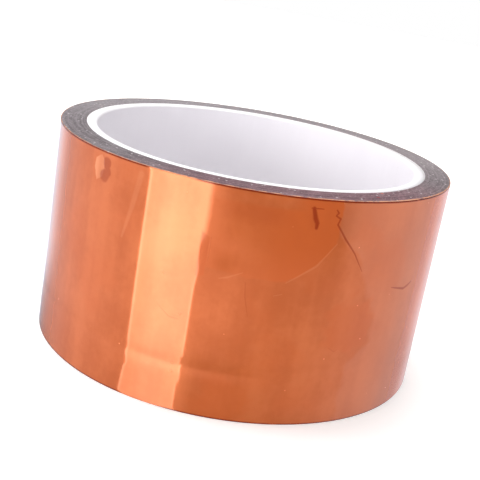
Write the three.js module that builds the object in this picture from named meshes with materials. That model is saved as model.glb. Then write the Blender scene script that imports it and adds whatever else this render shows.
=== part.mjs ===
// Polyimide tape roll: one length of film tape wound on a plastic core, standing on its end.
// Millimetres, +Z up. The origin is the centre of the base, on the roll's axis.

import * as THREE from "three";

// Driving dimensions.
const BORE_DIAMETER = 76.2; // the core fits a three-inch winding shaft
const CORE_WALL = 2.5;
const BORE_EDGE_RADIUS = 0.7; // round on both rims of the bore
const TAPE_WIDTH = 50;
const TAPE_LENGTH = 33000;
const TAPE_THICKNESS = 0.05; // film and adhesive together
const SEAT_CLEARANCE = 0.05; // between the core and the first turn
const FREE_END_AZIMUTH = 90; // degrees from +X to the tape's free end, at the back of the roll

// How finely the round shapes are divided.
const AROUND = 144; // a multiple of 4, so that core and winding share their corners
const ROUND_STEPS = 5;

const core = {
  boreRadius: BORE_DIAMETER / 2,
  outerRadius: BORE_DIAMETER / 2 + CORE_WALL,
  edgeRadius: Math.min(BORE_EDGE_RADIUS, 0.45 * CORE_WALL),
  height: TAPE_WIDTH, // core and tape are slit to width together, so their ends are flush
};

// The turns fill a ring whose area is that of the tape seen edge-on.
const seatRadius = core.outerRadius + SEAT_CLEARANCE;
const winding = {
  innerRadius: seatRadius,
  outerRadius: Math.sqrt(seatRadius ** 2 + (TAPE_LENGTH * TAPE_THICKNESS) / Math.PI),
  freeEnd: THREE.MathUtils.degToRad(FREE_END_AZIMUTH),
};

// An arc from one angle to a larger one, in radians, as points of a profile.
function roundedCorner(centreX, centreY, radius, from, to) {
  return new THREE.EllipseCurve(centreX, centreY, radius, radius, from, to).getPoints(ROUND_STEPS);
}

// The core's section is a rectangle with its two bore edges rounded. It closes on itself.
function coreProfile() {
  const { boreRadius, outerRadius, edgeRadius, height } = core;
  const centreRadius = boreRadius + edgeRadius;
  return [
    new THREE.Vector2(outerRadius, 0),
    new THREE.Vector2(outerRadius, height),
    ...roundedCorner(centreRadius, height - edgeRadius, edgeRadius, Math.PI / 2, Math.PI),
    ...roundedCorner(centreRadius, edgeRadius, edgeRadius, Math.PI, 1.5 * Math.PI),
    new THREE.Vector2(outerRadius, 0),
  ];
}

function coreGeometry() {
  return new THREE.LatheGeometry(coreProfile(), AROUND).rotateX(Math.PI / 2);
}

// A point at a share of a full turn counted from the tape's free end.
function pointAtTurn(share, radius) {
  const angle = winding.freeEnd + share * 2 * Math.PI;
  return new THREE.Vector2(radius * Math.cos(angle), radius * Math.sin(angle));
}

// The last turn is a spiral. It drops by one thickness over a full turn, so the free end is a step.
function lastTurn() {
  const points = [];
  for (let i = 0; i <= AROUND; i++) {
    const share = i / AROUND;
    points.push(pointAtTurn(share, winding.outerRadius - share * TAPE_THICKNESS));
  }
  return points;
}

function firstTurn() {
  const points = [];
  for (let i = 0; i < AROUND; i++) {
    points.push(pointAtTurn(i / AROUND, winding.innerRadius));
  }
  return points;
}

// All the turns are one solid: the outline of the last turn with the core's seat cut out of it.
function windingGeometry() {
  const outline = new THREE.Shape(lastTurn());
  outline.holes.push(new THREE.Path(firstTurn()));
  return new THREE.ExtrudeGeometry(outline, { depth: TAPE_WIDTH, bevelEnabled: false });
}

function coreMesh() {
  const plastic = new THREE.MeshStandardMaterial({ color: 0xf4f1f3, roughness: 0.35, metalness: 0 });
  const mesh = new THREE.Mesh(coreGeometry(), plastic);
  mesh.name = "core";
  return mesh;
}

function windingMesh() {
  const film = new THREE.MeshStandardMaterial({ color: 0xd4733f, roughness: 0.15, metalness: 0.3 });
  const mesh = new THREE.Mesh(windingGeometry(), film);
  mesh.name = "tape_winding";
  return mesh;
}

const roll = new THREE.Group();
roll.add(coreMesh(), windingMesh());

export default roll;
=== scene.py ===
"""A roll of amber film tape on its white core, with a small studio, built around the fixed frame."""

from math import atan2, cos, degrees, exp, hypot, pi, radians, sin

import bmesh
import bpy
from mathutils import Matrix, Vector, noise


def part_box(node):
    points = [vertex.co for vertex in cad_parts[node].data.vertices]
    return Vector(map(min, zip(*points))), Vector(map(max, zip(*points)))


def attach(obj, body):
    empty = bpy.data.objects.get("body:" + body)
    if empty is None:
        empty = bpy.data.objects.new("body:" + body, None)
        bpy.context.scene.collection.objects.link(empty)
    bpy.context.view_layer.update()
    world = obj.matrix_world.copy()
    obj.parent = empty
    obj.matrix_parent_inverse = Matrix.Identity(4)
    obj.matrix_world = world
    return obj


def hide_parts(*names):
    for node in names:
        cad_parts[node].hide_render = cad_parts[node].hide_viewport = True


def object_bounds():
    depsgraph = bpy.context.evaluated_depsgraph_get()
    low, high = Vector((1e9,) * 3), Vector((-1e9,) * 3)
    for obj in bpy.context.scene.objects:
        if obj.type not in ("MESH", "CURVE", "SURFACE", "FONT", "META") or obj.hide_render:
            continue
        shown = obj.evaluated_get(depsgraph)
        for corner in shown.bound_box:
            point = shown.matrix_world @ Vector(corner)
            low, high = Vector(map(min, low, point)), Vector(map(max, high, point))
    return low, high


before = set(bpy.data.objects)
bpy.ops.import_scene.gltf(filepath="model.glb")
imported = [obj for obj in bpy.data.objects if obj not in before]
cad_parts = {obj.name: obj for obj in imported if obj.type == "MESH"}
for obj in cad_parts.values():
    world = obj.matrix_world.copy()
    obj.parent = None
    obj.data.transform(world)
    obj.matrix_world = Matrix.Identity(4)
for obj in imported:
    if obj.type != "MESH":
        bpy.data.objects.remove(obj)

bl_info = {
    "name": "Film Tape Roll",
    "version": (1, 0, 0),
    "blender": (4, 5, 0),
    "location": "View3D > Sidebar > Tape Roll",
    "description": "Makes a roll of amber film tape on its core, and a small studio around it",
    "category": "Add Mesh",
}

MM = 0.001
TURN = 2 * pi

# The frame gives every size that the two pieces share with the solids.
FRAME_LOW, FRAME_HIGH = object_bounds()
CORE_LOW, CORE_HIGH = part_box("core")
TAPE_LOW, TAPE_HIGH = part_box("tape_winding")
CORE_RADIUS = CORE_HIGH.x
ROLL_RADIUS = TAPE_HIGH.y  # at the tape's free end, which is at the back
ROLL_HEIGHT = TAPE_HIGH.z - TAPE_LOW.z
ROLL_CENTRE = (FRAME_LOW + FRAME_HIGH) / 2
MM_PER_DEGREE = radians(ROLL_RADIUS / MM)  # round the outside of the roll


# ---------------------------------------------------------------- sizes and colours


class TapeRollSizes(bpy.types.PropertyGroup):
    """Sizes of the roll that the frame's boxes don't give."""

    core_wall: bpy.props.FloatProperty(
        name="Core wall", description="Thickness of the core's wall",
        default=2.5 * MM, unit="LENGTH", precision=5,
    )
    bore_round: bpy.props.FloatProperty(
        name="Bore edge", description="Radius of the rounded edges of the bore",
        default=0.7 * MM, unit="LENGTH", precision=5,
    )
    seat_gap: bpy.props.FloatProperty(
        name="Seat gap", description="Gap between the core and the first turn",
        default=0.05 * MM, unit="LENGTH", precision=5,
    )
    tape_thickness: bpy.props.FloatProperty(
        name="Tape thickness", description="Film and adhesive together",
        default=0.05 * MM, unit="LENGTH", precision=5,
    )
    slit_round: bpy.props.FloatProperty(
        name="Slit edge", description="Radius where the last turn meets the cut ends",
        default=0.16 * MM, unit="LENGTH", precision=5,
    )
    end_lift: bpy.props.FloatProperty(
        name="End lift", description="How far the tape's free end stands off the turn below",
        default=0.12 * MM, unit="LENGTH", precision=5,
    )
    lift_width: bpy.props.FloatProperty(
        name="End lift width", description="How far round the roll the free end's lift dies away",
        default=3.5 * MM, unit="LENGTH", precision=5,
    )
    groove_height: bpy.props.FloatProperty(
        name="Groove height", description="Height of the shallow groove round the roll",
        default=10.6 * MM, unit="LENGTH", precision=5,
    )
    groove_depth: bpy.props.FloatProperty(
        name="Groove depth", description="Depth of the shallow groove round the roll",
        default=0.042 * MM, unit="LENGTH", precision=5,
    )
    groove_width: bpy.props.FloatProperty(
        name="Groove width", description="Half width of the shallow groove round the roll",
        default=0.85 * MM, unit="LENGTH", precision=5,
    )
    waviness: bpy.props.FloatProperty(
        name="Waviness", description="How far the wound film wanders from a true cylinder",
        default=0.016 * MM, unit="LENGTH", precision=5,
    )
    end_roughness: bpy.props.FloatProperty(
        name="End relief", description="How far single turns stand out of the cut ends",
        default=0.03 * MM, unit="LENGTH", precision=5,
    )
    steps_around: bpy.props.IntProperty(
        name="Steps around", description="Divisions round the roll", default=540, min=48,
    )


class TapeRollColours(bpy.types.PropertyGroup):
    """Colours and finishes of the film, its cut edges and the core."""

    film_light: bpy.props.FloatVectorProperty(
        name="Film, light", description="Lightest colour of the wound film",
        subtype="COLOR", default=(0.75, 0.192, 0.063), min=0, max=1,
    )
    film_dark: bpy.props.FloatVectorProperty(
        name="Film, dark", description="Darkest colour of the wound film",
        subtype="COLOR", default=(0.61, 0.139, 0.04), min=0, max=1,
    )
    film_flat: bpy.props.FloatVectorProperty(
        name="Film, no air", description="Colour where the film lies flat on the turn below",
        subtype="COLOR", default=(0.6, 0.124, 0.031), min=0, max=1,
    )
    # Also the colour of the painted highlight on the dent's lit side.
    film_pale_and_highlight: bpy.props.FloatVectorProperty(
        name="Film, air", description="Colour of dust and air under the film",
        subtype="COLOR", default=(0.92, 0.34, 0.16), min=0, max=1,
    )
    film_pink: bpy.props.FloatVectorProperty(
        name="Film, lifted", description="Colour where the film has lifted off the turn below",
        subtype="COLOR", default=(0.72, 0.23, 0.115), min=0, max=1,
    )
    # Also paints shade in the creases and the dent, beside the softbox's edge, and a dark reflection along
    # both ends.
    film_painted_shade: bpy.props.FloatVectorProperty(
        name="Film, crease", description="Colour of creases in the film",
        subtype="COLOR", default=(0.26, 0.028, 0.007), min=0, max=1,
    )
    film_mirror: bpy.props.FloatProperty(
        name="Film mirror", description="Share of tinted reflection from behind the film",
        subtype="FACTOR", default=0.38, min=0, max=1,
    )
    edge_light: bpy.props.FloatVectorProperty(
        name="Cut edge, light", description="Lightest grey of the cut turns",
        subtype="COLOR", default=(0.275, 0.237, 0.248), min=0, max=1,
    )
    edge_dark: bpy.props.FloatVectorProperty(
        name="Cut edge, dark", description="Darkest grey of the cut turns",
        subtype="COLOR", default=(0.09, 0.072, 0.078), min=0, max=1,
    )
    edge_brown_light: bpy.props.FloatVectorProperty(
        name="Cut edge, light brown", description="Lightest colour of the cut turns at the front",
        subtype="COLOR", default=(0.27, 0.16, 0.18), min=0, max=1,
    )
    edge_brown_dark: bpy.props.FloatVectorProperty(
        name="Cut edge, dark brown", description="Darkest colour of the cut turns at the front",
        subtype="COLOR", default=(0.075, 0.036, 0.046), min=0, max=1,
    )
    edge_amber: bpy.props.FloatVectorProperty(
        name="Cut edge, amber", description="Colour of the outermost cut turns",
        subtype="COLOR", default=(0.75, 0.35, 0.19), min=0, max=1,
    )
    # Painted sheen: the cut turns are lightened towards the sides and the back, for reflected light.
    edge_far_sheen: bpy.props.FloatVectorProperty(
        name="Cut edge, far", description="Colour that the cut turns take on at the sides and the back",
        subtype="COLOR", default=(0.42, 0.38, 0.39), min=0, max=1,
    )
    edge_glint: bpy.props.FloatVectorProperty(
        name="Cut edge, glint", description="Colour of the glints on the cut turns",
        subtype="COLOR", default=(0.8, 0.74, 0.75), min=0, max=1,
    )
    edge_fleck: bpy.props.FloatVectorProperty(
        name="Cut edge, fleck", description="Colour of the orange fleck on the cut ends",
        subtype="COLOR", default=(0.7, 0.2, 0.1), min=0, max=1,
    )
    edge_speck: bpy.props.FloatVectorProperty(
        name="Cut edge, speck", description="Colour of the red speck on the cut ends",
        subtype="COLOR", default=(0.3, 0.01, 0.008), min=0, max=1,
    )
    core_light: bpy.props.FloatVectorProperty(
        name="Core, light", description="Lightest white of the core",
        subtype="COLOR", default=(0.88, 0.851, 0.89), min=0, max=1,
    )
    core_dark: bpy.props.FloatVectorProperty(
        name="Core, dark", description="Darkest white of the core",
        subtype="COLOR", default=(0.85, 0.822, 0.862), min=0, max=1,
    )
    # Painted highlight: the flat ends are whitened for the light that falls on them.
    core_rim_highlight: bpy.props.FloatVectorProperty(
        name="Core, rim", description="White of the core's flat ends",
        subtype="COLOR", default=(0.97, 0.95, 0.97), min=0, max=1,
    )
    # Also the colour of painted shade that darkens the bore towards its middle.
    core_scuff_and_shade: bpy.props.FloatVectorProperty(
        name="Core, dull", description="Colour of scuffs, and of the bore towards its middle",
        subtype="COLOR", default=(0.6, 0.58, 0.6), min=0, max=1,
    )


class TapeRollStudio(bpy.types.PropertyGroup):
    """Camera, floor and light."""

    lens: bpy.props.FloatProperty(
        name="Lens", description="Focal length of the camera", default=70.1, unit="CAMERA",
    )
    distance: bpy.props.FloatProperty(
        name="Distance", description="From the camera to the middle of the roll",
        default=0.2321, unit="LENGTH",
    )
    elevation: bpy.props.FloatProperty(
        name="Elevation", description="How steeply the camera looks down",
        default=radians(17.4), subtype="ANGLE",
    )
    tilt: bpy.props.FloatProperty(
        name="Tilt", description="Turn of the camera about its own line of sight",
        default=radians(9.87), subtype="ANGLE",
    )
    floor_size: bpy.props.FloatProperty(
        name="Floor", description="Width of the floor", default=3.0, unit="LENGTH",
    )
    floor_glow: bpy.props.FloatProperty(
        name="Floor glow", description="Light of the floor's own, as on a light table", default=0.38,
    )
    ambient: bpy.props.FloatProperty(
        name="Ambient light", description="Strength of the white surroundings", default=0.48,
    )
    wall_radius: bpy.props.FloatProperty(
        name="Wall radius", description="Radius of the bright wall that the film mirrors",
        default=1.2, unit="LENGTH",
    )


# ---------------------------------------------------------------- shader maths


class Wire:
    """A shader output that works in sums as a number does: each operator adds its Math node."""

    def __init__(self, tree, socket):
        self.tree = tree
        self.socket = socket

    def node(self, kind, settings=None, inputs=None, output=0):
        """Adds any node: settings first, then a value or a wire for each named or numbered input."""
        made = self.tree.nodes.new(kind)
        for name, value in (settings or {}).items():
            setattr(made, name, value)
        for name, value in (inputs or {}).items():
            if isinstance(value, Wire):
                self.tree.links.new(value.socket, made.inputs[name])
            else:
                made.inputs[name].default_value = value
        return Wire(self.tree, made.outputs[output])

    def output(self, name):
        """Another output of the same node."""
        return Wire(self.tree, self.socket.node.outputs[name])

    def math(self, operation, *others):
        """A Math node on this value and the others."""
        return self.node("ShaderNodeMath", {"operation": operation}, dict(enumerate((self, *others))))

    def __add__(self, other):
        return self.math("ADD", other)

    def __sub__(self, other):
        return self.math("SUBTRACT", other)

    def __rsub__(self, other):
        return self.node("ShaderNodeMath", {"operation": "SUBTRACT"}, {0: other, 1: self})

    def __mul__(self, other):
        return self.math("MULTIPLY", other)

    def __truediv__(self, other):
        return self.math("DIVIDE", other)

    __radd__ = __add__
    __rmul__ = __mul__

    def __neg__(self):
        return self * -1

    def __abs__(self):
        return self.math("ABSOLUTE")

    def least(self, other):
        return self.math("MINIMUM", other)

    def most(self, other):
        return self.math("MAXIMUM", other)

    def rise(self, low, high):
        """0 below low, 1 above high, and a smooth step between."""
        inputs = {"Value": self, "From Min": low, "From Max": high}
        return self.node("ShaderNodeMapRange", {"interpolation_type": "SMOOTHSTEP"}, inputs)

    def fall(self, low, high):
        """1 below low, 0 above high, and a smooth step between."""
        return 1 - self.rise(low, high)

    def blend(self, first, second):
        """A colour between two: the first at 0, the second at 1."""
        inputs = {0: self, 6: colour(first), 7: colour(second)}
        return self.node("ShaderNodeMix", {"data_type": "RGBA"}, inputs, output=2)

    def noise(self, scale, detail=2.0, roughness=0.5):
        """Smooth noise from 0 to 1 at this place."""
        inputs = {"Vector": self, "Scale": scale, "Detail": detail, "Roughness": roughness}
        return self.node("ShaderNodeTexNoise", None, inputs)

    def speck(self, scale, share, size):
        """1 in dots of this size, as a share of a cell, in the stated share of the cells."""
        inputs = {"Vector": self, "Scale": scale}
        cell = self.node("ShaderNodeTexVoronoi", None, inputs)
        chosen = self.node("ShaderNodeSeparateColor", None, {0: cell.output("Color")})
        return cell.fall(0.5 * size, size) * chosen.fall(share, share + 0.01)


def colour(value):
    """A socket's colour needs an alpha; a wire stays as it is."""
    return value if isinstance(value, Wire) else (*value, 1.0)


class Place:
    """Where a point of the roll is: millimetres, and degrees from the front, positive to the right."""

    def __init__(self, material):
        tree = material.node_tree
        coordinates = tree.nodes.new("ShaderNodeTexCoord")
        self.metres = Wire(tree, coordinates.outputs["Object"])
        x = self.metres.node("ShaderNodeSeparateXYZ", None, {0: self.metres})
        y = x.output("Y")
        self.height = x.output("Z") / MM
        self.radius = (x * x + y * y).math("SQRT") / MM
        self.azimuth = x.math("ARCTAN2", -y) * (180 / pi)
        self.across = self.azimuth * MM_PER_DEGREE
        self.side = x / self.radius / MM
        self.back = y / self.radius / MM

    def to_end(self):
        """Millimetres to the nearer end of the roll."""
        middle = ROLL_HEIGHT / MM / 2
        return middle - abs(self.height - middle)

    def noise(self, around, outward=0.0, upward=0.0, detail=2.0, roughness=0.5):
        """Noise drawn out round the roll: features to a radian, a millimetre outward and one upward."""
        along = self.radius * outward + self.height * upward
        point = {0: self.side * around, 1: self.back * around, 2: along}
        return self.side.node("ShaderNodeCombineXYZ", None, point).noise(1.0, detail, roughness)


def new_material(name):
    material = bpy.data.materials.new(name)
    material.use_nodes = True
    return material


def set_surface(material, **sockets):
    """Values or wires for the Principled shader's sockets, whose names have _ for a space."""
    shader = material.node_tree.nodes["Principled BSDF"]
    for name, value in sockets.items():
        socket = shader.inputs[name.replace("_", " ")]
        if isinstance(value, Wire):
            material.node_tree.links.new(value.socket, socket)
        else:
            socket.default_value = value


def bump(height, distance, strength=1.0):
    """A Bump node that reads a height from 0 to 1 as this many metres."""
    inputs = {"Strength": strength, "Distance": distance, "Height": height}
    return height.node("ShaderNodeBump", None, inputs)


# ---------------------------------------------------------------- materials


def on_film(point):
    """Millimetres across the unrolled film, and up it, from (degrees, height)."""
    return point[0] * MM_PER_DEGREE, point[1]


def crease(place, points):
    """1 along a bent line of (degrees, height, half width) points on the film, and 0 beyond its width."""
    nearest = None
    for start, end in zip(points, points[1:]):
        ax, az = on_film(start[:2])
        bx, bz = on_film(end[:2])
        length = hypot(bx - ax, bz - az)
        ux, uz = (bx - ax) / length, (bz - az) / length
        dx, dz = place.across - ax, place.height - az
        along = (dx * ux + dz * uz).most(0.0).least(length)
        off_x, off_z = dx - along * ux, dz - along * uz
        width = along * ((end[2] - start[2]) / length) + start[2]
        reach = (off_x * off_x + off_z * off_z).math("SQRT") / width
        nearest = reach if nearest is None else nearest.least(reach)
    return nearest.fall(0.3, 1.0)


def patch(place, corners, softness, wobble):
    """1 inside a convex outline of (degrees, height) corners, listed against the clock, and 0 outside."""
    inside = None
    for start, end in zip(corners, corners[1:] + corners[:1]):
        ax, az = on_film(start)
        bx, bz = on_film(end)
        length = hypot(bx - ax, bz - az)
        reach = ((place.height - az) * (bx - ax) - (place.across - ax) * (bz - az)) / length
        inside = reach if inside is None else inside.least(reach)
    return (inside + wobble).rise(-softness, softness)


def oval(place, centre, half_width, half_height, softness, wobble=0.0):
    """1 inside an oval on the film and 0 outside, with a soft rim."""
    dx = (place.azimuth - centre[0]) / half_width
    dz = (place.height - centre[1]) / half_height
    return ((dx * dx + dz * dz).math("SQRT") + wobble).fall(1 - softness, 1 + softness)


# Outlines on the film, as (degrees from the front, height) corners against the clock: where it lies flat,
# a patch of painted shade at the left of the flat patch, beside the right edge of the mirrored softbox, and
# the painted highlight on the lit side of a dent.
FLAT_PATCH = [(-8, 60), (-8, 33), (3, 32), (13, 32), (20, 36), (24.5, 41), (23.5, 60)]
STRIP_EDGE_SHADE = [(-9.5, 30.5), (-7.5, 31), (-7, 39), (-9.5, 40)]
DENT_HIGHLIGHT = [(-44, 46), (-42.5, 43.5), (-40.5, 44.5), (-40, 48), (-41.5, 49), (-43.5, 48)]

# Ovals of painted shade on the dent's shaded side, as (degrees from the front, height, half width in degrees,
# half height).
DENT_SHADE = [(-39, 47.5, 1.5, 1.5), (-38.5, 46, 1.3, 1.3), (-39.5, 45, 2, 1.5)]

# Lines on the film, as (degrees from the front, height, half width) points.
HOOK_CREASE = [(16.5, 48, 0.6), (17.3, 46, 0.8), (18, 45, 0.7), (18, 44, 0.5)]
HOOK_TOP = [(16, 48, 0.3), (19, 48, 0.15)]
LONG_CREASE = [
    (22.5, 48, 0.2), (23.2, 47.4, 0.3), (22.6, 46.8, 0.25), (24, 46.2, 0.3), (23.5, 45, 0.3),
    (26.5, 42, 0.35), (30, 39, 0.25), (33.5, 35, 0.1),
]
ARC_CREASE = [(46, 30.5, 0.1), (49, 30, 0.3), (52, 29.5, 0.45), (54, 30, 0.45), (56, 30.8, 0.15)]
HAIRLINES = [
    [(3, 31, 0.2), (3.5, 28, 0.2), (5, 24, 0.1)],
    [(-7, 39, 0.15), (-7, 34, 0.1)],
    [(28, 18, 0.1), (30, 17, 0.2), (31, 17.5, 0.1)],
    [(-18, 22.5, 0.1), (-14.5, 20.5, 0.15), (-12, 20.5, 0.1)],
]
PALE_LINES = [
    [(-3.5, 31, 0.15), (-1.5, 31.5, 0.3), (2, 33, 0.1)],
    [(10.5, 29, 0.15), (12.5, 29.5, 0.15)],
    [(13, 32, 0.2), (20, 36, 0.35), (24.5, 41, 0.15)],
    [(-27.5, 48, 1.0), (-29, 41, 0.8), (-31, 34, 0.4)],
]

# Dots on the cut ends, as (degrees from the front, radius, size).
RED_SPECK = (37.2, 43.7, 0.5)
ORANGE_FLECK = (41.9, 41.3, 0.4)


def film_shade(place):
    """0 where the film is darkest and 1 where it is lightest: streaks round the roll, mottle and clouds."""
    streaks = place.noise(9.0, 0.0, 0.02, 3.0)
    mottle = place.metres.noise(700.0, 2.0)
    cloud = place.metres.noise(90.0, 2.0)
    return (streaks * 0.45 + mottle * 0.15 + cloud * 0.4).rise(0.36, 0.64)


def flat_film(place, wobble, strip_edge_shade):
    """1 where the film lies flat on the turn below, and 0 where air is between them."""
    flat = patch(place, FLAT_PATCH, 0.35, wobble * 1.8) * (place.azimuth.rise(0.0, 15.0) * 0.55 + 0.45)
    # the painted shade beside the softbox's edge also takes the darker flat colour here
    flat = flat.most(strip_edge_shade * 0.8)
    band = place.height.rise(46.6, 47.8) * place.azimuth.rise(-10.0, -7.0) * place.azimuth.fall(9.0, 17.0)
    flat = flat * (1 - band)
    flat = flat.most(oval(place, (33.5, 22.5), 7.5, 6.5, 0.25, wobble * 1.6) * 0.55)
    flat = flat.most(oval(place, (2, 4.5), 7.0, 5.5, 0.4, wobble * 1.6) * 0.5)
    return flat.most(place.metres.noise(55.0, 3.0).rise(0.55, 0.68) * 0.3)


def lifted_film(place, wobble):
    """Strength of the pink cast where the film has lifted, to the right of an edge that bends with height."""
    edge = place.height.fall(35.8, 45.0) * 9.5 + place.height.fall(23.5, 35.8) * 8 + 23.5
    edge = edge - place.height.fall(13.0, 19.0) * 7
    lifted = (place.azimuth - edge + wobble * 5).rise(-1.0, 1.8)
    lifted = lifted * (1 - place.azimuth.rise(50.0, 62.0) * 0.8)
    return lifted * (place.height.rise(28.0, 40.0) * 0.1 + 0.35)


def shade_and_hairlines(place, wobble, strip_edge_shade):
    """Painted shade in creases, on the dent's shaded side, by the softbox's edge, near the flat patch's top;
    dark hairlines.
    """
    dark = crease(place, HOOK_CREASE).most(strip_edge_shade * 0.14)
    for line, strength in ((HOOK_TOP, 0.8), (LONG_CREASE, 0.85), (ARC_CREASE, 0.85)):
        dark = dark.most(crease(place, line) * strength)
    for line in HAIRLINES:
        dark = dark.most(crease(place, line) * 0.3)
    for right, up, half_width, half_height in DENT_SHADE:
        dark = dark.most(oval(place, (right, up), half_width, half_height, 0.2, wobble * 1.6) * 0.7)
    return dark.most(oval(place, (3.0, 45.5), 7.0, 1.8, 0.8, wobble * 1.5) * 0.28)


def highlight_and_air_lines(place, wobble):
    """Strength of the painted highlight on the dent's lit side, and of thin lines of air under the film."""
    pale = patch(place, DENT_HIGHLIGHT, 0.15, wobble * 0.9) * (0.95 - place.azimuth.rise(-43.6, -41.5) * 0.5)
    for line in PALE_LINES:
        pale = pale.most(crease(place, line) * 0.2)
    return pale


def dark_rim_reflection(place):
    """Painted reflection: a broken dark line along both ends, left out at the front left where the softbox is
    mirrored.
    """
    broken_up = place.noise(16.0, 0.0, 0.1, 3.0).rise(0.15, 0.42)
    softbox_gap = place.azimuth.rise(-27.0, -24.5) * place.azimuth.fall(-16.0, -9.0)
    return place.to_end().fall(0.22, 0.45) * broken_up * (1 - softbox_gap)


def film_material(colours):
    """Glossy amber film: a clear skin over a tinted mirror, duller where the film lies flat."""
    material = new_material("amber_film")
    place = Place(material)
    wobble = place.metres.noise(260.0, 3.0) - 0.5
    # painted shade beside the right edge of the mirrored softbox
    strip_edge_shade = patch(place, STRIP_EDGE_SHADE, 0.3, wobble * 0.8)
    flat = flat_film(place, wobble, strip_edge_shade)
    dark = shade_and_hairlines(place, wobble, strip_edge_shade)
    dust = place.metres.speck(420.0, 0.13, 0.1)
    scuff = place.noise(56.0, 0.0, 1.7, 4.0, 0.6)

    tone = film_shade(place).blend(colours.film_dark, colours.film_light)
    tone = lifted_film(place, wobble).blend(tone, colours.film_pink)
    tone = flat.blend(tone, colours.film_flat)
    # painted highlight on the dent's lit side, with thin lines of air and dust
    tone = highlight_and_air_lines(place, wobble).most(dust * 0.3).blend(tone, colours.film_pale_and_highlight)
    # painted shade in the creases, the dent and beside the softbox's edge; dark hairlines
    tone = (dark * 0.85).blend(tone, colours.film_painted_shade)
    # painted dark reflection along both ends
    tone = dark_rim_reflection(place).blend(tone, colours.film_painted_shade)
    set_surface(
        material,
        Base_Color=tone,
        Metallic=colours.film_mirror * (1 - flat * 0.35) * (1 - dark * 0.5),
        Roughness=scuff.rise(0.3, 0.8) * 0.05 + dust * 0.3 + 0.06,
        IOR=1.5,
        Specular_IOR_Level=0.3,
        Coat_Weight=1 - dust * 0.5 - dark * 0.4,
        Coat_Roughness=0.02,
        Coat_IOR=1.5,
        Normal=bump(place.metres.noise(900.0, 2.0) * 0.03 + dark * 0.5 + dust * 0.3, 0.05 * MM),
    )
    return material


def dot_on_end(place, degrees_right, radius, size):
    """1 in a small dot on the cut ends, and 0 outside."""
    dx = (place.azimuth - degrees_right) * MM_PER_DEGREE
    dr = place.radius - radius
    return (dx * dx + dr * dr).math("SQRT").fall(0.5 * size, size)


def cut_edge_material(colours):
    """The cut edges of all the turns: fine grey rings, knife marks, glints, amber outermost, painted sheen at
    sides and back.
    """
    material = new_material("cut_film_edges")
    place = Place(material)
    rings = place.noise(1.2, 2.4, 0.0, 4.0, 0.7)
    grain = place.metres.noise(2600.0, 3.0, 0.6)
    smears = place.noise(14.0, 1.1, 0.0, 3.0, 0.6)
    slant = place.azimuth * 0.9 + place.radius * 1.4
    slanted = slant.node("ShaderNodeCombineXYZ", None, {0: slant, 1: place.radius * 0.3})
    knife_marks = slanted.noise(1.0, 3.0, 0.6)
    shade = (rings * 0.3 + smears * 0.2 + grain * 0.3 + knife_marks * 0.2).rise(0.4, 0.6)
    near_side = place.azimuth.rise(-45.0, -10.0) * place.azimuth.fall(45.0, 80.0)
    far_sheen = abs(place.azimuth).rise(65.0, 115.0)
    broken_up = place.noise(40.0, 1.0, 0.0, 3.0).rise(0.3, 0.6)
    outer = (place.radius + near_side * 0.35).rise(ROLL_RADIUS / MM - 0.4, ROLL_RADIUS / MM - 0.2)
    glints = place.metres.noise(1700.0, 3.0, 0.8).rise(0.58, 0.68) * 0.5
    glints = glints.most(place.metres.speck(800.0, 0.4, 0.24))

    grey = shade.blend(colours.edge_dark, colours.edge_light)
    brown = shade.blend(colours.edge_brown_dark, colours.edge_brown_light)
    tone = near_side.blend(grey, brown)
    # painted sheen towards the sides and the back
    tone = (far_sheen * 0.35).blend(tone, colours.edge_far_sheen)
    tone = (outer * broken_up * 0.9).blend(tone, colours.edge_amber)
    tone = (glints * 0.8).blend(tone, colours.edge_glint)
    tone = dot_on_end(place, *ORANGE_FLECK).blend(tone, colours.edge_fleck)
    tone = dot_on_end(place, *RED_SPECK).blend(tone, colours.edge_speck)
    set_surface(
        material,
        Base_Color=tone,
        Roughness=0.6 - rings * 0.2,
        IOR=1.45,
        Specular_IOR_Level=0.35,
        Normal=bump(rings * 0.5 + grain * 0.3 + smears * 0.2, 0.05 * MM, 0.6),
    )
    return material


def core_material(colours):
    """White moulded plastic, faintly drawn along the bore, with a painted highlight on its flat ends and
    painted shade deep in the bore.
    """
    material = new_material("white_core_plastic")
    place = Place(material)
    drawn = place.noise(30.0, 0.0, 0.05, 3.0)
    cloud = place.metres.noise(60.0, 3.0)
    scuffs = place.metres.noise(1200.0, 4.0, 0.7).rise(0.62, 0.72)
    # scuffs, and painted shade darkening the bore towards its middle
    scuff_and_shade = (scuffs * 0.15).most(place.to_end().rise(1.0, 25.0) * 0.3)

    tone = (drawn * 0.2 + cloud * 0.8).rise(0.3, 0.7).blend(colours.core_dark, colours.core_light)
    # painted highlight on the flat ends
    tone = place.to_end().fall(0.2, 0.5).blend(tone, colours.core_rim_highlight)
    tone = scuff_and_shade.blend(tone, colours.core_scuff_and_shade)
    set_surface(
        material,
        Base_Color=tone,
        Roughness=0.34 + cloud * 0.1 + scuffs * 0.1,
        IOR=1.49,
        Normal=bump(drawn * 0.3 + cloud * 0.7, 0.03 * MM, 0.4),
    )
    return material


# ---------------------------------------------------------------- meshes

CORE_STEPS = 288  # divisions round the core
CORE_ROWS = 24  # cuts up the core's wall
FILM_ROWS = 111  # cuts up the wound film
END_RINGS = 19  # cuts across the turns at each end
SHORT_EDGE = 2 * MM  # the edges of the rounded corners are shorter, and aren't divided
FREE_END_WIDTH = 0.06 * MM  # how far round the roll the step at the free end reaches
MOVING_SHARE = 0.12  # the outer share of the winding that follows the relief of its wall


def ring_section(bm, inner, outer, low, high):
    """The section of a tube's wall: four corners in a ring of edges, in the plane of the free end."""
    outline = ((inner, low), (outer, low), (outer, high), (inner, high))
    corners = [bm.verts.new((0, radius, height)) for radius, height in outline]
    for number, corner in enumerate(corners):
        bm.edges.new((corners[number - 1], corner))
    return corners


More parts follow.
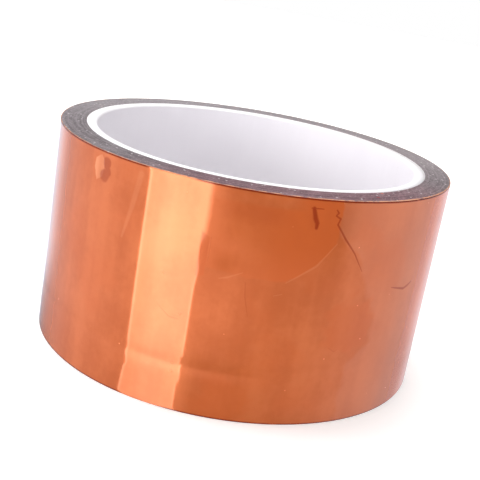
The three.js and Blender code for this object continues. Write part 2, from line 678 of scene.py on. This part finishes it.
def round_corners(bm, corners, radius, segments):
    """Rounds these corners of the section with an arc."""
    bmesh.ops.bevel(
        bm, geom=corners, offset=radius, segments=segments, profile=0.5, affect="VERTICES", material=-1,
    )


def divide(bm, cuts, chosen):
    """Divides the section's edges for which chosen(middle, length) is true."""
    edges = [
        edge for edge in bm.edges
        if chosen((edge.verts[0].co + edge.verts[1].co) / 2, edge.calc_length())
    ]
    bmesh.ops.subdivide_edges(bm, edges=edges, cuts=cuts)


def spin_section(bm, steps):
    """Turns the section into a closed ring about the roll's axis."""
    bmesh.ops.spin(
        bm, geom=bm.verts[:] + bm.edges[:], cent=(0, 0, 0), axis=(0, 0, 1), angle=TURN, steps=steps,
        use_merge=True, use_duplicate=False,
    )
    bmesh.ops.remove_doubles(bm, verts=bm.verts[:], dist=1e-7)
    bmesh.ops.recalc_face_normals(bm, faces=bm.faces[:])


def finished_piece(bm, name, materials):
    """A smooth-shaded object at the origin, with this mesh and these materials."""
    mesh = bpy.data.meshes.new(name)
    for face in bm.faces:
        face.smooth = True
    bm.to_mesh(mesh)
    bm.free()
    for material in materials:
        mesh.materials.append(material)
    piece = bpy.data.objects.new(name, mesh)
    bpy.context.scene.collection.objects.link(piece)
    return piece


def core_mesh(sizes):
    """The core: a tube with its bore's edges rounded."""
    bm = bmesh.new()
    bore = CORE_RADIUS - sizes.core_wall
    corners = ring_section(bm, bore, CORE_RADIUS, CORE_LOW.z, CORE_HIGH.z)
    round_corners(bm, [corners[0], corners[3]], sizes.bore_round, 6)
    divide(bm, CORE_ROWS, lambda middle, length: length > ROLL_HEIGHT / 2)
    spin_section(bm, CORE_STEPS)
    return bm


def around_from_front(point):
    """Degrees from the front of the roll, positive to the right."""
    return degrees(atan2(point.x, -point.y))


def turn_from_free_end(point):
    """The share of a turn from the tape's free end back to this point."""
    return ((atan2(point.y, point.x) - pi / 2) / TURN) % 1.0


def bell(offset, width):
    """A smooth bump: 1 at no offset, and 0.6 at one width."""
    return exp(-0.5 * (offset / width) ** 2)


# Small swells and dents in the last turn, as (degrees from the front, then height, width, tallness and how
# far it stands out, in millimetres).
SWELLS = [
    (-41.6, 46.4, 1.2, 2.1, -0.17), (-43.6, 46.0, 0.8, 2.2, 0.05), (-22.5, 8.0, 3.0, 2.6, 0.05),
    (-4.8, 31.8, 2.2, 1.5, 0.04), (-3.0, 36.5, 2.6, 1.8, -0.03), (17.0, 46.2, 0.9, 1.6, -0.04),
    (28.0, 41.0, 2.0, 4.0, 0.03), (51.0, 29.2, 3.0, 0.9, -0.04),
]


def wall_relief(point, sizes):
    """How far the last turn stands off a true cylinder at this point."""
    share = turn_from_free_end(point)
    drop = -sizes.tape_thickness * share
    lift = sizes.end_lift * bell(share * TURN * ROLL_RADIUS, sizes.lift_width)
    arc = radians(around_from_front(point)) * ROLL_RADIUS
    direction = Vector((point.x, point.y, 0)).normalized()
    wave = noise.noise(Vector((direction.x * 3.1, direction.y * 3.1, point.z / (42 * MM))))
    fine = noise.noise(Vector((direction.x * 9.0, direction.y * 9.0, point.z / (11 * MM) + 7.3)))
    strength = 1 + 0.7 * noise.noise(direction * 2.3)
    groove = -sizes.groove_depth * strength * bell(point.z - sizes.groove_height, sizes.groove_width)
    swells = sum(
        out * MM * bell(arc - radians(right) * ROLL_RADIUS, width * MM) * bell(point.z - up * MM, tall * MM)
        for right, up, width, tall, out in SWELLS
    )
    return drop + lift + sizes.waviness * (wave + 0.45 * fine) + groove + swells


def end_relief(point, sizes):
    """How far the cut turns stand out of the roll's upper end at this point."""
    direction = Vector((point.x, point.y, 0)).normalized()
    radius = hypot(point.x, point.y)
    turns = noise.noise(Vector((direction.x * 1.3, direction.y * 1.3, radius / (0.45 * MM))))
    broad = noise.noise(Vector((direction.x * 2.0, direction.y * 2.0, radius / (2.5 * MM) + 5.0)))
    return sizes.end_roughness * (0.6 * turns + 0.8 * broad)


def winding_mesh(sizes):
    """All the turns of the tape: a rounded ring, stepped at the free end and uneven as wound film is."""
    bm = bmesh.new()
    seat = CORE_RADIUS + sizes.seat_gap
    corners = ring_section(bm, seat, ROLL_RADIUS, TAPE_LOW.z, TAPE_HIGH.z)
    round_corners(bm, corners[1:3], sizes.slit_round, 3)
    middle_radius = (seat + ROLL_RADIUS) / 2
    divide(bm, FILM_ROWS, lambda middle, length: length > ROLL_HEIGHT / 2 and middle.y > middle_radius)
    divide(bm, END_RINGS, lambda middle, length: SHORT_EDGE < length < ROLL_HEIGHT / 2)
    spin_section(bm, sizes.steps_around)
    close_free_end(bm, sizes)
    for face in bm.faces:
        face.material_index = 1 if abs(face.normal.z) > 0.9 else 0
    shape_winding(bm, sizes)
    return bm


def close_free_end(bm, sizes):
    """Draws the ring of points before the free end up to it, so that the end is a crisp step."""
    step = 1 / sizes.steps_around
    turn_back = Matrix.Rotation(TURN * step - FREE_END_WIDTH / ROLL_RADIUS, 4, "Z")
    last = [v for v in bm.verts if abs(turn_from_free_end(v.co) - (1 - step)) < 0.1 * step]
    bmesh.ops.transform(bm, matrix=turn_back, verts=last)


def shape_winding(bm, sizes):
    """Moves each point of the wall in or out, and of the upper end up or down. The lower end stays flat."""
    seat = CORE_RADIUS + sizes.seat_gap
    for vertex in bm.verts:
        point = vertex.co.copy()
        radius = hypot(point.x, point.y)
        share = (radius - seat) / (ROLL_RADIUS - seat)
        if share < 1e-4:
            continue
        outward = Vector((point.x, point.y, 0)) / radius
        near_wall = max(0.0, 1 - (1 - share) / MOVING_SHARE)
        vertex.co += outward * wall_relief(point, sizes) * near_wall
        at_end = min(point.z - TAPE_LOW.z, TAPE_HIGH.z - point.z) < 1e-6
        if at_end and point.z > ROLL_CENTRE.z:
            vertex.co.z += end_relief(point, sizes) * min(1.0, 4 * share)


# ---------------------------------------------------------------- studio


def stand_camera(studio):
    """Stands the camera at the front, looking down at the middle of the roll."""
    camera = bpy.data.objects.new("camera", bpy.data.cameras.new("camera"))
    camera.data.lens = studio.lens
    camera.data.sensor_width = 36.0
    camera.data.clip_start = 0.01
    back = Vector((0, -cos(studio.elevation), sin(studio.elevation)))
    facing = back.to_track_quat("Z", "Y").to_matrix().to_4x4()
    position = Matrix.Translation(ROLL_CENTRE + back * studio.distance)
    camera.matrix_world = position @ facing @ Matrix.Rotation(studio.tilt, 4, "Z")
    bpy.context.scene.collection.objects.link(camera)
    bpy.context.scene.camera = camera


def set_glow(material, tint, strength):
    """Makes a surface that gives light and mirrors none."""
    set_surface(
        material, Base_Color=(0.0, 0.0, 0.0, 1.0), Specular_IOR_Level=0.0,
        Emission_Color=tint, Emission_Strength=strength,
    )


def hide_from(piece, *rays):
    """Hides a piece from these kinds of ray."""
    for ray in rays:
        setattr(piece, "visible_" + ray, False)


def lay_floor(studio):
    """A pale floor that glows a little. The film mirrors the wall of light in its place."""
    bm = bmesh.new()
    bmesh.ops.create_grid(bm, x_segments=1, y_segments=1, size=studio.floor_size / 2)
    paper = new_material("pale_floor")
    set_surface(
        paper, Base_Color=(0.9, 0.9, 0.9, 1.0), Roughness=0.9,
        Emission_Color=(1.0, 1.0, 1.0, 1.0), Emission_Strength=studio.floor_glow,
    )
    floor = finished_piece(bm, "studio_floor", [paper])
    hide_from(floor, "glossy")


# The room that the film mirrors: a softbox to the left of the camera, dim and warm where the camera stands,
# lighter and cooler towards the back, rosy at the far right, and white paper behind the roll. Azimuths are in
# degrees from the front, positive to the right. BRIGHTEST is the wall's strength where its colour is white.
SOFTBOX_LEFT = -55.0
SOFTBOX_RIGHT = -20.0
SOFTBOX_TINT = (1.0, 0.98, 0.82)
WARM_TINT = (1.0, 0.8, 0.66)
COOL_TINT = (0.92, 0.98, 1.1)
ROSY_TINT = (1.25, 0.97, 1.0)
BRIGHTEST = 5.0


def softbox_light(azimuth, elevation, bent):
    """Strength of the softbox: lighter to the right and at the top left, with thin bright rims."""
    upper = elevation.rise(-19.0, -16.0)
    left_rim = bent.fall(SOFTBOX_LEFT + 0.8, SOFTBOX_LEFT + 1.6)
    right_rim = bent.rise(SOFTBOX_RIGHT - 1.8, SOFTBOX_RIGHT - 1.0) * (1 - upper)
    top = upper * azimuth.fall(-45.0, -30.0) * 0.5
    return azimuth.rise(-52.0, -38.0) + (left_rim + right_rim) * 1.3 + top + 2.2


def room_light(azimuth, elevation):
    """Strength of the room's walls, of light that spills past the softbox, and of the white paper."""
    turned = abs(azimuth)
    spill = azimuth.rise(SOFTBOX_RIGHT - 10, SOFTBOX_RIGHT) * azimuth.fall(SOFTBOX_RIGHT, 30.0) * 0.4
    spill = spill + azimuth.rise(-80.0, SOFTBOX_LEFT) * azimuth.fall(SOFTBOX_LEFT, -45.0) * 0.12
    side_walls = turned.rise(40.0, 90.0) * 0.3 + turned.rise(120.0, 150.0) * 0.35
    walls = (spill + side_walls + 0.3) * (1 - azimuth.rise(110.0, 140.0) * 0.2)
    paper = azimuth.fall(-166.0, -150.0) * 1.2 + azimuth.rise(162.0, 169.0) * 0.95
    camera = azimuth.rise(-20.0, 0.0) * azimuth.fall(50.0, 70.0) * elevation.rise(-18.0, -14.0)
    ceiling = elevation.rise(-1.0, 7.0)
    return (walls + paper) * (1 - camera * 0.9) * (1 - ceiling * 0.8)


def light_left_at_foot(azimuth, elevation):
    """Share of the light that is left towards the floor, which shades the foot of the wall."""
    near_camera = azimuth.rise(-24.0, -13.0) * azimuth.fall(15.0, 35.0)
    front = near_camera * 0.45 + azimuth.fall(20.0, 40.0) * 0.3
    sides = abs(azimuth).rise(112.0, 140.0) * (0.45 - azimuth.rise(-5.0, 5.0) * 0.25)
    return 1 - elevation.fall(-27.0, -20.0) * front - elevation.fall(-22.0, -18.0) * sides


def mirror_wall_material():
    """The light that the film mirrors, by the direction that it comes from."""
    material = new_material("mirror_wall_light")
    place = Place(material)
    azimuth = place.azimuth
    turned = abs(azimuth)
    elevation = place.height.math("ARCTAN2", place.radius) * (180 / pi)

    # the softbox steps sideways at its foot, and its right edge is softer at the top
    bent = azimuth + elevation.fall(-25.7, -25.1) * 1.5
    soft_right = elevation.rise(-16.0, -15.5) * 3.5 + SOFTBOX_RIGHT
    inside = bent.rise(SOFTBOX_LEFT - 0.5, SOFTBOX_LEFT) * bent.fall(SOFTBOX_RIGHT - 1, soft_right)
    softbox = softbox_light(azimuth, elevation, bent)
    strength = inside * softbox + (1 - inside) * room_light(azimuth, elevation)
    strength = strength * light_left_at_foot(azimuth, elevation)

    tint = (turned.rise(20.0, 80.0) * 0.7 + turned.rise(115.0, 145.0) * 0.3).blend(WARM_TINT, COOL_TINT)
    tint = azimuth.rise(115.0, 135.0).blend(tint, ROSY_TINT)
    tint = inside.blend(tint, SOFTBOX_TINT)
    set_glow(material, (strength / BRIGHTEST).blend((0.0, 0.0, 0.0), tint), BRIGHTEST)
    return material


def raise_mirror_wall(studio):
    """A round wall of light that only shiny surfaces see."""
    bm = bmesh.new()
    low = bm.verts.new((0, studio.wall_radius, -studio.wall_radius))
    high = bm.verts.new((0, studio.wall_radius, studio.wall_radius))
    bm.edges.new((low, high))
    spin_section(bm, 180)
    wall = finished_piece(bm, "mirror_wall", [mirror_wall_material()])
    hide_from(wall, "camera", "diffuse", "shadow", "transmission")


# Softboxes that light the roll: name, width, height, power in watts, and place in metres.
SOFTBOXES = [
    ("side_softbox", 0.7, 0.7, 7.0, (-1.1, 0.1, 1.1)),
    ("front_softbox", 1.6, 0.3, 8.5, (-0.55, -1.2, 0.2)),
    ("top_softbox", 1.2, 1.2, 17.0, (-0.1, 0.4, 1.4)),
]


def hang_softbox(name, width, height, power, position):
    """An area light that faces the roll. Shiny surfaces and the camera don't see it."""
    lamp = bpy.data.lights.new(name, "AREA")
    lamp.shape = "RECTANGLE"
    lamp.size = width
    lamp.size_y = height
    lamp.energy = power
    box = bpy.data.objects.new(name, lamp)
    aim = (ROLL_CENTRE - Vector(position)).to_track_quat("-Z", "Y")
    box.matrix_world = Matrix.Translation(position) @ aim.to_matrix().to_4x4()
    hide_from(box, "glossy", "camera")
    bpy.context.scene.collection.objects.link(box)


def raise_backdrop(studio):
    """A white dome that only the camera sees. It is smaller than the floor, and starts a little below it."""
    bm = bmesh.new()
    low = Matrix.Translation((0, 0, -0.05))
    bmesh.ops.create_uvsphere(bm, u_segments=48, v_segments=24, radius=0.45 * studio.floor_size, matrix=low)
    paper = new_material("white_backdrop")
    set_glow(paper, (1.0, 1.0, 1.0, 1.0), 1.0)
    dome = finished_piece(bm, "studio_backdrop", [paper])
    hide_from(dome, "diffuse", "glossy", "transmission", "shadow")


def light_surroundings(studio):
    """White light from all round, and colours shown as they are."""
    world = bpy.data.worlds.new("studio_surroundings")
    world.use_nodes = True
    background = world.node_tree.nodes["Background"]
    background.inputs["Color"].default_value = (1.0, 1.0, 1.0, 1.0)
    background.inputs["Strength"].default_value = studio.ambient
    bpy.context.scene.world = world
    bpy.context.scene.view_settings.view_transform = "Standard"


# ---------------------------------------------------------------- operators


class TAPEROLL_OT_core(bpy.types.Operator):
    """Make the white plastic core in its CAD place"""

    bl_idname = "taperoll.core"
    bl_label = "Make core"

    def execute(self, context):
        sizes = context.scene.tape_roll_sizes
        materials = [core_material(context.scene.tape_roll_colours)]
        piece = finished_piece(core_mesh(sizes), "core_tube", materials)
        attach(piece, "root")
        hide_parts("core")
        return {"FINISHED"}


class TAPEROLL_OT_winding(bpy.types.Operator):
    """Make the wound film with its cut ends"""

    bl_idname = "taperoll.winding"
    bl_label = "Make winding"

    def execute(self, context):
        colours = context.scene.tape_roll_colours
        materials = [film_material(colours), cut_edge_material(colours)]
        piece = finished_piece(winding_mesh(context.scene.tape_roll_sizes), "wound_film", materials)
        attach(piece, "root")
        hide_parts("tape_winding")
        return {"FINISHED"}


class TAPEROLL_OT_studio(bpy.types.Operator):
    """Lay the floor, raise the lights and stand the camera"""

    bl_idname = "taperoll.studio"
    bl_label = "Make studio"

    def execute(self, context):
        studio = context.scene.tape_roll_studio
        stand_camera(studio)
        lay_floor(studio)
        raise_backdrop(studio)
        raise_mirror_wall(studio)
        light_surroundings(studio)
        for softbox in SOFTBOXES:
            hang_softbox(*softbox)
        return {"FINISHED"}


class TAPEROLL_PT_panel(bpy.types.Panel):
    bl_label = "Tape Roll"
    bl_idname = "TAPEROLL_PT_panel"
    bl_space_type = "VIEW_3D"
    bl_region_type = "UI"
    bl_category = "Tape Roll"

    def draw(self, context):
        scene = context.scene
        for group in (scene.tape_roll_sizes, scene.tape_roll_colours, scene.tape_roll_studio):
            box = self.layout.box()
            for name in group.bl_rna.properties.keys():
                if name not in ("rna_type", "name"):
                    box.prop(group, name)
        for operator in OPERATORS:
            self.layout.operator(operator.bl_idname)


GROUPS = {
    "tape_roll_sizes": TapeRollSizes,
    "tape_roll_colours": TapeRollColours,
    "tape_roll_studio": TapeRollStudio,
}
OPERATORS = (TAPEROLL_OT_core, TAPEROLL_OT_winding, TAPEROLL_OT_studio)


def register():
    for group in GROUPS.values():
        bpy.utils.register_class(group)
    for operator in OPERATORS:
        bpy.utils.register_class(operator)
    bpy.utils.register_class(TAPEROLL_PT_panel)
    for name, group in GROUPS.items():
        setattr(bpy.types.Scene, name, bpy.props.PointerProperty(type=group))


def unregister():
    for name in GROUPS:
        delattr(bpy.types.Scene, name)
    bpy.utils.unregister_class(TAPEROLL_PT_panel)
    for operator in reversed(OPERATORS):
        bpy.utils.unregister_class(operator)
    for group in reversed(GROUPS.values()):
        bpy.utils.unregister_class(group)


def main():
    register()
    bpy.ops.taperoll.core()
    bpy.ops.taperoll.winding()
    bpy.ops.taperoll.studio()


if __name__ == "__main__":
    main()
